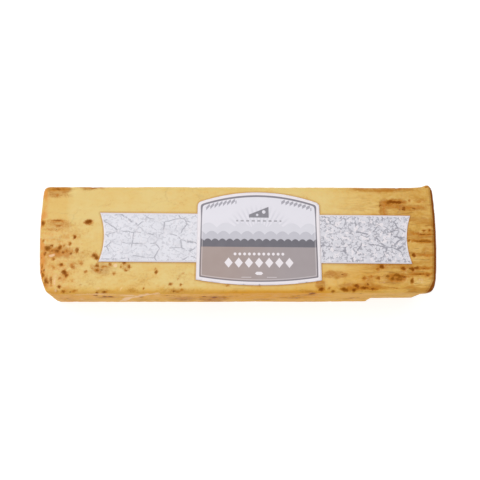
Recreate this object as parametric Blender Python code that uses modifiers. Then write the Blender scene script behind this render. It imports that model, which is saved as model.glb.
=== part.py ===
# A long block of smoked cheddar lying on its broad face, with a two-piece paper label on top:
# a ribbon with fishtail ends, and an arched crest laid over the ribbon.
# Metres, +Z up. X runs along the block, -Y is its front, and the origin is under its middle.

import math

import bmesh
import bpy
from mathutils import Vector, noise

# Cheese block
BLOCK_LENGTH = 0.2808
BLOCK_DEPTH = 0.0780
BLOCK_HEIGHT = 0.058
EDGE_RADIUS = 0.004
FILLET_ANGLES = (22.5, 45.0)  # degrees, the rows of points on each half of a rounded edge
CELL = 0.006  # size of the squares that the faces are divided into
TOUCHING = 0.000001  # what lies nearer than this counts as touching

# Unevenness of the block
TOP_SWELL = 0.00045
SIDE_SWELL = 0.00040
SWELL_LENGTH = 0.045  # distance between one swelling and the next
SWELL_SEEDS = {"top": 3.1, "front": 7.4, "back": 11.9, "ends": 17.3}
LEFT_END_BULGE = 0.0021
RIGHT_END_BULGE = 0.0019
LEFT_END_PINCH = -0.0005  # how far an end draws in towards the back, and out towards the front
RIGHT_END_PINCH = -0.0009
FACE_ZONE = 0.8  # a shift of an end, front or back face begins this share of the way out to it

# The lower right stretch of the front is broken back in a shallow ledge
LEDGE_DEPTH = 0.0026
LEDGE_FROM = 0.1000
LEDGE_FULL = 0.1028
LEDGE_TOP = 0.036
LEDGE_FADE = 0.012
LEDGE_ZONE = (0.5, 0.9)  # shares of the way out to the front over which the ledge's shift grows

# A small ear of cheese stands out behind the back right corner
EAR_REACH = 0.0021
EAR_PLACE = 0.1352
EAR_WIDTH = 0.0040
EAR_DEPTH_BELOW_TOP = 0.012

# Worn upright corners: how far each is worn back along the end, and along the front or back
PRESSED_SHARE = 0.18  # share of the worn-off corner that still stands proud of a straight cut
FRONT_LEFT_WEAR = (0.0054, 0.0115)
FRONT_RIGHT_WEAR = (0.0046, 0.0085)
BACK_LEFT_WEAR = (0.0022, 0.0022)
LEFT_WEAR_AT_FOOT = 0.30  # share of the front left wear that is left at the underside

# Label
GAP = 0.0003  # clearance between a paper piece and what it lies on
PAPER = 0.0003
LABEL_X = 0.0131
LABEL_Y = 0.0002
LABEL_TURN = -0.5  # degrees, the label was stuck on a little crooked
PAPER_CELL = 0.010

RIBBON_LENGTH = 0.2227
RIBBON_WIDTH = 0.0352
RIBBON_NOTCH = 0.0032
RIBBON_SHIFT = -0.0015  # the middle of the ribbon, from the middle of the crest
NOTCH_STEPS = 10

CREST_TOP_WIDTH = 0.0874
CREST_FOOT_WIDTH = 0.0892
CREST_HEIGHT = 0.0674
CREST_ARCH = 0.0078
CREST_FOOT_SAG = 0.0038
CREST_ARC_STEPS = 16
CREST_SHOULDER_RADIUS = 0.0028
CREST_SHOULDER_STEPS = 3
RIDGE_CLEARANCE = 0.0005  # level stretch of the crest just past the ribbon's edge
RIDGE_SLOPE = 0.0026  # run over which the crest comes down to the cheese

CHEESE_COLOUR = (0.72, 0.44, 0.14, 1.0)
RIBBON_COLOUR = (0.72, 0.71, 0.76, 1.0)
CREST_COLOUR = (0.60, 0.57, 0.58, 1.0)


def smoothstep(low, high, value):
    share = min(1.0, max(0.0, (value - low) / (high - low)))
    return share * share * (3.0 - 2.0 * share)


def swell(first, second, seed):
    """Slow unevenness from -1 to 1 over a face, from the two coordinates along it."""
    return noise.noise(Vector((first / SWELL_LENGTH, second / SWELL_LENGTH, seed)))


def top_height(x, y):
    """Height of the block's upper face, which the label follows."""
    return BLOCK_HEIGHT + TOP_SWELL * swell(x, y, SWELL_SEEDS["top"])


def clear_scene():
    for item in list(bpy.data.objects):
        bpy.data.objects.remove(item)


def make_material(name, colour, roughness):
    material = bpy.data.materials.new(name)
    material.use_nodes = True
    shader = material.node_tree.nodes["Principled BSDF"]
    shader.inputs["Base Color"].default_value = colour
    shader.inputs["Roughness"].default_value = roughness
    shader.inputs["Metallic"].default_value = 0.0
    return material


def make_object(name, mesh_data, collection, material):
    mesh = bpy.data.meshes.new(name)
    mesh_data.to_mesh(mesh)
    mesh_data.free()
    mesh.materials.append(material)
    item = bpy.data.objects.new(name, mesh)
    collection.objects.link(item)
    return item


def slice_mesh(mesh_data, axis, places):
    """Cuts a mesh across one axis at each place, without removing anything."""
    normal = Vector((0.0, 0.0, 0.0))
    normal[axis] = 1.0
    for place in places:
        everything = mesh_data.verts[:] + mesh_data.edges[:] + mesh_data.faces[:]
        bmesh.ops.bisect_plane(mesh_data, geom=everything, plane_co=normal * place, plane_no=normal)


def stations(side):
    """Where a side of the block is divided: even cells, and closer rows through its rounded edges."""
    flat = side / 2 - EDGE_RADIUS
    cells = round(2 * flat / CELL)
    even = [-flat + 2 * flat * i / cells for i in range(cells + 1)]
    rows = [flat + EDGE_RADIUS * math.tan(math.radians(angle)) for angle in FILLET_ANGLES[:-1]]
    return [-row for row in rows] + even + rows


def rounded(point, half):
    """Moves a point of the sharp box onto the box with rounded edges."""
    inner = Vector(max(-h + EDGE_RADIUS, min(h - EDGE_RADIUS, c)) for c, h in zip(point, half))
    outward = point - inner
    return inner + outward.normalized() * EDGE_RADIUS


def unevenness(point, half):
    """Slow swellings of the faces, bulged ends, the ledge and the ear, as a shift of the point."""
    x, y, z = point
    to_end = x / half.x
    to_side = y / half.y
    share_up = (z + half.z) / (2 * half.z)
    height = z + half.z

    shift = Vector((0.0, 0.0, 0.0))
    shift.z = share_up * TOP_SWELL * swell(x, y, SWELL_SEEDS["top"])

    face = "front" if y < 0 else "back"
    shift.y = SIDE_SWELL * swell(x, z, SWELL_SEEDS[face]) * to_side

    bulge, pinch = (LEFT_END_BULGE, LEFT_END_PINCH) if x < 0 else (RIGHT_END_BULGE, RIGHT_END_PINCH)
    bulge = bulge * (1.0 - to_side * to_side) - pinch * to_side
    ends = SIDE_SWELL * swell(y, z, math.copysign(SWELL_SEEDS["ends"], x))
    shift.x = (math.copysign(bulge, x) + ends) * smoothstep(FACE_ZONE, 1.0, abs(to_end))

    broken = smoothstep(LEDGE_FROM, LEDGE_FULL, x) * smoothstep(*LEDGE_ZONE, -to_side)
    shift.y += LEDGE_DEPTH * broken * (1.0 - smoothstep(LEDGE_TOP, LEDGE_TOP + LEDGE_FADE, height))

    near_top = smoothstep(BLOCK_HEIGHT - EAR_DEPTH_BELOW_TOP, BLOCK_HEIGHT, height)
    near_ear = math.exp(-(((x - EAR_PLACE) / EAR_WIDTH) ** 2))
    shift.y += EAR_REACH * near_ear * near_top * smoothstep(FACE_ZONE, 1.0, to_side)
    return shift


def corner_planes(half):
    """The upright planes of three worn corners: a point, an outward normal and the wear left at the foot."""
    planes = []
    for side, face, wear, at_foot in (
        (-1, -1, FRONT_LEFT_WEAR, LEFT_WEAR_AT_FOOT),
        (1, -1, FRONT_RIGHT_WEAR, 1.0),
        (-1, 1, BACK_LEFT_WEAR, 1.0),
    ):
        along, back = wear
        normal = Vector((side * back, face * along, 0.0)).normalized()
        worn_edge = Vector((side * (half.x - along), face * half.y, 0.0))
        planes.append((worn_edge, normal, at_foot))
    return planes


def pressed(point, planes, share_up):
    """Presses a point that stands past a worn corner's plane back towards it, less so near the foot."""
    for middle, normal, at_foot in planes:
        overshoot = (point - middle).dot(normal)
        if overshoot > 0:
            worn = at_foot + (1.0 - at_foot) * smoothstep(0.0, 1.0, share_up)
            point = point - normal * overshoot * worn * (1.0 - PRESSED_SHARE)
    return point


def cheese_block(collection):
    half = Vector((BLOCK_LENGTH, BLOCK_DEPTH, BLOCK_HEIGHT)) / 2
    block = bmesh.new()
    bmesh.ops.create_cube(block, size=1.0)
    bmesh.ops.scale(block, vec=half * 2, verts=block.verts)
    slice_mesh(block, 0, sorted(stations(BLOCK_LENGTH) + [LEDGE_FROM, LEDGE_FULL]))
    slice_mesh(block, 1, stations(BLOCK_DEPTH))
    slice_mesh(block, 2, stations(BLOCK_HEIGHT))

    planes = corner_planes(half)
    for vert in block.verts:
        soft = rounded(vert.co, half)
        share_up = (soft.z + half.z) / (2 * half.z)
        worn = pressed(soft + unevenness(soft, half), planes, share_up)
        vert.co = worn + Vector((0.0, 0.0, half.z))

    # The underside is one level face, so its inner squares are merged.
    flat = [face for face in block.faces if face.calc_center_median().z < TOUCHING]
    bmesh.ops.dissolve_faces(block, faces=flat)
    for face in block.faces:
        face.smooth = True
    material = make_material("smoked_cheese", CHEESE_COLOUR, 0.42)
    return make_object("cheese_block", block, collection, material)


def label_point(across, up):
    """A point of the label's own drawing, placed on the block's top."""
    turn = math.radians(LABEL_TURN)
    x = LABEL_X + across * math.cos(turn) - up * math.sin(turn)
    y = LABEL_Y + across * math.sin(turn) + up * math.cos(turn)
    return x, y


def arc(start, end, rise, steps):
    """Points of a shallow arc from start to end, which stands rise to the left of the chord."""
    start, end = Vector(start), Vector(end)
    chord = end - start
    left = Vector((-chord.y, chord.x)).normalized()
    points = []
    for i in range(steps):
        share = i / steps
        points.append(start + chord * share + left * rise * 4 * share * (1 - share))
    return points


def ribbon_outline():
    """Anticlockwise from the lower left: two straight edges and two hollow fishtail ends."""
    left = RIBBON_SHIFT - RIBBON_LENGTH / 2
    right = RIBBON_SHIFT + RIBBON_LENGTH / 2
    half = RIBBON_WIDTH / 2
    points = [Vector((left, -half))]
    points += arc((right, -half), (right, half), RIBBON_NOTCH, NOTCH_STEPS)
    points += [Vector((right, half))]
    points += arc((left, half), (left, -half), RIBBON_NOTCH, NOTCH_STEPS)
    return points


def rounded_corner(before, corner, after):
    """Points that round a corner of the crest, between the points on its two sides."""
    start = corner + (before - corner).normalized() * CREST_SHOULDER_RADIUS
    end = corner + (after - corner).normalized() * CREST_SHOULDER_RADIUS
    points = []
    for i in range(CREST_SHOULDER_STEPS + 1):
        share = i / CREST_SHOULDER_STEPS
        points.append(start.lerp(corner, share).lerp(corner.lerp(end, share), share))
    return points


def crest_outline():
    """Anticlockwise from the lower left: sagging foot, straight sides, arched top with round shoulders."""
    foot, shoulder = CREST_FOOT_WIDTH / 2, CREST_TOP_WIDTH / 2
    low = -CREST_HEIGHT / 2 + CREST_FOOT_SAG
    high = CREST_HEIGHT / 2 - CREST_ARCH
    right_shoulder, left_shoulder = Vector((shoulder, high)), Vector((-shoulder, high))
    right_foot, left_foot = Vector((foot, low)), Vector((-foot, low))
    arch = arc(right_shoulder, left_shoulder, -CREST_ARCH, CREST_ARC_STEPS)[1:]

    points = arc(left_foot, right_foot, -CREST_FOOT_SAG, CREST_ARC_STEPS)
    points += [right_foot]
    points += rounded_corner(right_foot, right_shoulder, arch[0])
    points += arch
    points += rounded_corner(arch[-1], left_shoulder, left_foot)
    return points


def paper_sheet(outline, lift, cuts_across, cuts_up):
    """A flat outline divided into cells and laid on the block's top, raised by lift(across, up)."""
    sheet = bmesh.new()
    corners = [sheet.verts.new((point.x, point.y, 0.0)) for point in outline]
    sheet.faces.new(corners)
    bmesh.ops.remove_doubles(sheet, verts=sheet.verts, dist=TOUCHING)
    slice_mesh(sheet, 0, cuts_across)
    slice_mesh(sheet, 1, cuts_up)
    for vert in sheet.verts:
        across, up = vert.co.x, vert.co.y
        x, y = label_point(across, up)
        vert.co = (x, y, top_height(x, y) + lift(across, up))
    return sheet


def even_cuts(length, middle=0.0):
    count = math.ceil(length / PAPER_CELL)
    return [middle + length * (i / count - 0.5) for i in range(1, count)]


def add_thickness(item):
    """Gives a laid sheet its paper thickness, upwards from where it lies."""
    solidify = item.modifiers.new("paper", "SOLIDIFY")
    solidify.thickness = PAPER
    solidify.offset = 1.0
    solidify.use_even_offset = True


def ribbon_label(collection):
    across = even_cuts(RIBBON_LENGTH, RIBBON_SHIFT)
    sheet = paper_sheet(ribbon_outline(), lambda *place: GAP, across, even_cuts(RIBBON_WIDTH))
    material = make_material("ribbon_paper", RIBBON_COLOUR, 0.55)
    item = make_object("ribbon_label", sheet, collection, material)
    add_thickness(item)
    return item


def crest_lift(across, up):
    """The crest lies on the cheese, and steps up over the ribbon along a low ridge."""
    edge = RIBBON_WIDTH / 2 + RIDGE_CLEARANCE
    over = 1.0 - smoothstep(edge, edge + RIDGE_SLOPE, abs(up))
    return GAP + (PAPER + GAP) * over


def crest_label(collection):
    edge = RIBBON_WIDTH / 2 + RIDGE_CLEARANCE
    ridge = [edge, edge + RIDGE_SLOPE / 2, edge + RIDGE_SLOPE]
    inner = [0.0, RIBBON_WIDTH / 4]
    rows = sorted([-row for row in ridge + inner[1:]] + inner + ridge)
    sheet = paper_sheet(crest_outline(), crest_lift, even_cuts(CREST_FOOT_WIDTH), rows)
    material = make_material("crest_paper", CREST_COLOUR, 0.5)
    item = make_object("crest_label", sheet, collection, material)
    add_thickness(item)
    return item


def centre_on_origin(items):
    """Shifts everything level so that the box round all the pieces is centred over the origin."""
    corners = [vert.co for item in items for vert in item.data.vertices]
    middle_x = (min(c.x for c in corners) + max(c.x for c in corners)) / 2
    middle_y = (min(c.y for c in corners) + max(c.y for c in corners)) / 2
    for item in items:
        item.location = (-middle_x, -middle_y, 0.0)


def main():
    clear_scene()
    collection = bpy.data.collections.new("smoked_cheddar_block")
    bpy.context.scene.collection.children.link(collection)
    items = [cheese_block(collection), ribbon_label(collection), crest_label(collection)]
    centre_on_origin(items)


main()
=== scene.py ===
# The looks of a long block of smoked cheddar that lies on its broad face:
# a stained, faintly pitted block, a paper ribbon round its top, and a paper crest over the ribbon.
# Sizes in the dictionaries are millimetres unless a note says otherwise.
# X runs along the block, and -Y is its front.

import math
from types import SimpleNamespace

import bmesh
import bpy
from mathutils import Matrix, Vector


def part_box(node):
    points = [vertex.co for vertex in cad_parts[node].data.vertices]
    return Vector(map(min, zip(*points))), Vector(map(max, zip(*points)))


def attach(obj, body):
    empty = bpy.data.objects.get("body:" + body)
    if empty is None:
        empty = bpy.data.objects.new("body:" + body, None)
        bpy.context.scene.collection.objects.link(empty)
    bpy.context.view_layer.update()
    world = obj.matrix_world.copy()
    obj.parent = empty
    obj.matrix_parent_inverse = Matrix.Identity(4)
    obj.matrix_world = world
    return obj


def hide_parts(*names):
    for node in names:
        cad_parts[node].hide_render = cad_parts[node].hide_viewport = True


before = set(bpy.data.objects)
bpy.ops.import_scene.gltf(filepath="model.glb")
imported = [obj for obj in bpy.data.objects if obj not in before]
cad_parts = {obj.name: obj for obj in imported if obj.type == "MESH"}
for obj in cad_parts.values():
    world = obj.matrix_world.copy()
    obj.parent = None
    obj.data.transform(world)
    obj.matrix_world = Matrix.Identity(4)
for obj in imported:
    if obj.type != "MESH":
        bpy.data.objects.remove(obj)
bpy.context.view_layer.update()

millimetre = 0.001


def say(text):
    print("cheddar block:", text)


def paint(red, green, blue):
    # a colour given in 0-255 screen values, as the linear colour that sockets take
    linear = []
    for value in (red, green, blue):
        share = value / 255
        linear.append(share / 12.92 if share <= 0.04045 else ((share + 0.055) / 1.055) ** 2.4)
    return (*linear, 1.0)


class Wire:
    # A socket of a node tree. Arithmetic on it adds Math nodes, and node() adds any other node.
    def __init__(self, tree, socket=None):
        self.tree = tree
        self.socket = socket

    def node(self, kind, settings=None, sockets=None, take=0):
        made = self.tree.nodes.new(kind)
        for name, value in (settings or {}).items():
            if name == "stops":
                fillRamp(made.color_ramp, value)
            else:
                setattr(made, name, value)
        for key, value in (sockets or {}).items():
            if isinstance(value, Wire):
                self.tree.links.new(value.socket, made.inputs[key])
            else:
                made.inputs[key].default_value = value
        return Wire(self.tree, made.outputs[take]) if made.outputs else None

    def math(self, operation, *terms):
        return self.node("ShaderNodeMath", {"operation": operation}, dict(enumerate(terms)))

    def vector(self, operation, *terms, take=0):
        return self.node("ShaderNodeVectorMath", {"operation": operation}, dict(enumerate(terms)), take)

    def scaled(self, by):
        return self.node("ShaderNodeVectorMath", {"operation": "SCALE"}, {0: self, "Scale": by})

    def __add__(self, other):
        return self.math("ADD", self, other)

    __radd__ = __add__

    def __sub__(self, other):
        return self.math("SUBTRACT", self, other)

    def __rsub__(self, other):
        return self.math("SUBTRACT", other, self)

    def __mul__(self, other):
        return self.math("MULTIPLY", self, other)

    __rmul__ = __mul__

    def __truediv__(self, other):
        return self.math("DIVIDE", self, other)

    def __rtruediv__(self, other):
        return self.math("DIVIDE", other, self)

    def __abs__(self):
        return self.math("ABSOLUTE", self)

    def least(self, other):
        return self.math("MINIMUM", self, other)

    def most(self, other):
        return self.math("MAXIMUM", self, other)

    def fade(self, start, end, low=0.0, high=1.0):
        # from low at start to high at end, smoothly, and level outside them
        sockets = {"Value": self, "From Min": start, "From Max": end, "To Min": low, "To Max": high}
        return self.node("ShaderNodeMapRange", {"interpolation_type": "SMOOTHSTEP"}, sockets)

    def blend(self, first, second):
        # this value as the share of the second colour
        return self.node("ShaderNodeMix", {"data_type": "RGBA"}, {0: self, 6: first, 7: second}, take=2)

    def split(self):
        three = self.node("ShaderNodeSeparateXYZ", sockets={0: self}).socket.node
        return [Wire(self.tree, socket) for socket in three.outputs]


def fillRamp(ramp, stops):
    while len(ramp.elements) < len(stops):
        ramp.elements.new(0.5)
    for element, (place, colour) in zip(ramp.elements, stops):
        element.position = place
        element.color = colour


def placed(at, size, seed):
    sizes = size if isinstance(size, tuple) else (size, size, size)
    scale = [1 / length for length in sizes]
    return at.vector("MULTIPLY_ADD", at, scale, (seed, seed * 1.7, seed * 2.3))


def noise(at, size, seed=0.0, detail=2.0, rough=0.5, take=0):
    sockets = {"Vector": placed(at, size, seed), "Scale": 1.0, "Detail": detail, "Roughness": rough}
    return at.node("ShaderNodeTexNoise", {}, sockets, take)


def drifted(at, size, reach, seed):
    # the same place, wandering by up to about half the reach
    stray = at.vector("SUBTRACT", noise(at, size, seed, take=1), (0.5, 0.5, 0.5))
    return at.vector("MULTIPLY_ADD", stray, (reach, reach, reach), at)


def patch(at, centre, reach, soft=0.5):
    # 1 in the middle of an ellipsoid, and 0 outside it
    inverse = [1 / length for length in reach]
    offset = [-place / length for place, length in zip(centre, reach)]
    distance = at.vector("LENGTH", at.vector("MULTIPLY_ADD", at, inverse, offset), take=1)
    return distance.fade(1.0 + soft * 0.5, 1.0 - soft)


def strongest(values):
    # the largest of several values at each spot
    total = None
    for value in values:
        total = value if total is None else total.most(value)
    return total


def patches(at, rows, soft=0.5):
    # each row is a centre, a reach and a strength; the strongest one counts
    return strongest([patch(at, centre, reach, soft) * strength for centre, reach, strength in rows])


def fold(at, start, end, width):
    # 1 along the straight line from start to end, and 0 a width away from it
    start, end = Vector(start), Vector(end)
    run = end - start
    along = at.vector("SUBTRACT", at, start)
    share = at.vector("DOT_PRODUCT", along, run / run.length_squared, take=1).most(0.0).least(1.0)
    nearest = at.vector("MULTIPLY", run, share)
    off = at.vector("DISTANCE", along, nearest, take=1)
    return off.fade(width, 0.0)


def dots(at, size, chance, seed, edge=0.16):
    # uneven dots in scattered cells: a higher chance gives more and larger ones
    cells = at.node("ShaderNodeTexVoronoi", {}, {"Vector": placed(at, size, seed), "Scale": 1.0})
    draw = Wire(at.tree, cells.socket.node.outputs[1]).split()[0]
    reach = (chance - draw).fade(0.0, 0.8, 0.0, 0.62)
    return (reach - cells).fade(0.0, edge)


def plainMesh(piece):
    # takes what the modifiers make as the piece's own mesh
    graph = bpy.context.evaluated_depsgraph_get()
    made = bpy.data.meshes.new_from_object(piece.evaluated_get(graph))
    piece.modifiers.clear()
    piece.data = made
    made.name = piece.name
    return piece


def newObject(name, mesh):
    item = bpy.data.objects.new(name, mesh)
    bpy.context.scene.collection.objects.link(item)
    return item


def newMaterial(name):
    material = bpy.data.materials.new(name)
    material.use_nodes = True
    material.node_tree.nodes.clear()
    return material, Wire(material.node_tree)


def finishMaterial(root, sockets):
    shader = root.node("ShaderNodeBsdfPrincipled", {}, sockets)
    root.node("ShaderNodeOutputMaterial", {}, {"Surface": shader})


def nodeModifier(piece, tree, values):
    # a modifier's inputs are set by the identifiers of the tree's named inputs
    modifier = piece.modifiers.new(tree.name, "NODES")
    modifier.node_group = tree
    for item in tree.interface.items_tree:
        if item.item_type == "SOCKET" and item.in_out == "INPUT" and item.name in values:
            modifier[item.identifier] = values[item.name]
    return modifier


def newTree(name, inputs):
    # a Geometry Nodes tree with a geometry input and output, and named inputs
    tree = bpy.data.node_groups.new(name, "GeometryNodeTree")
    tree.is_modifier = True
    tree.interface.new_socket("Geometry", in_out="INPUT", socket_type="NodeSocketGeometry")
    for label, kind in inputs.items():
        tree.interface.new_socket(label, in_out="INPUT", socket_type=kind)
    tree.interface.new_socket("Geometry", in_out="OUTPUT", socket_type="NodeSocketGeometry")
    root = Wire(tree)
    entry = root.node("NodeGroupInput").socket.node
    wires = {socket.name: Wire(tree, socket) for socket in entry.outputs if socket.name}
    return root, wires


def endTree(root, geometry, material):
    real = root.node("GeometryNodeRealizeInstances", {}, {0: geometry})
    painted = root.node("GeometryNodeSetMaterial", {}, {"Geometry": real, "Material": material})
    root.node("NodeGroupOutput", {}, {0: painted})


# Cheese

cheese = {
    "voxel": 1.0,
    "smoothing": 8,
    "swellHeight": 0.35,
    "swellSize": 13.0,
    "pitDepth": 0.45,
    "chipDepth": 0.7,
    "knitDepth": 0.22,
    "grainDepth": 0.16,
    "foldHeight": 0.2,
    "footReach": 0.75,
    "earReach": 0.75,
    "coat": 0.25,
    "shine": 0.02,
}

blockLow, blockHigh = (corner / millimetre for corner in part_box("cheese_block"))
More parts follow.
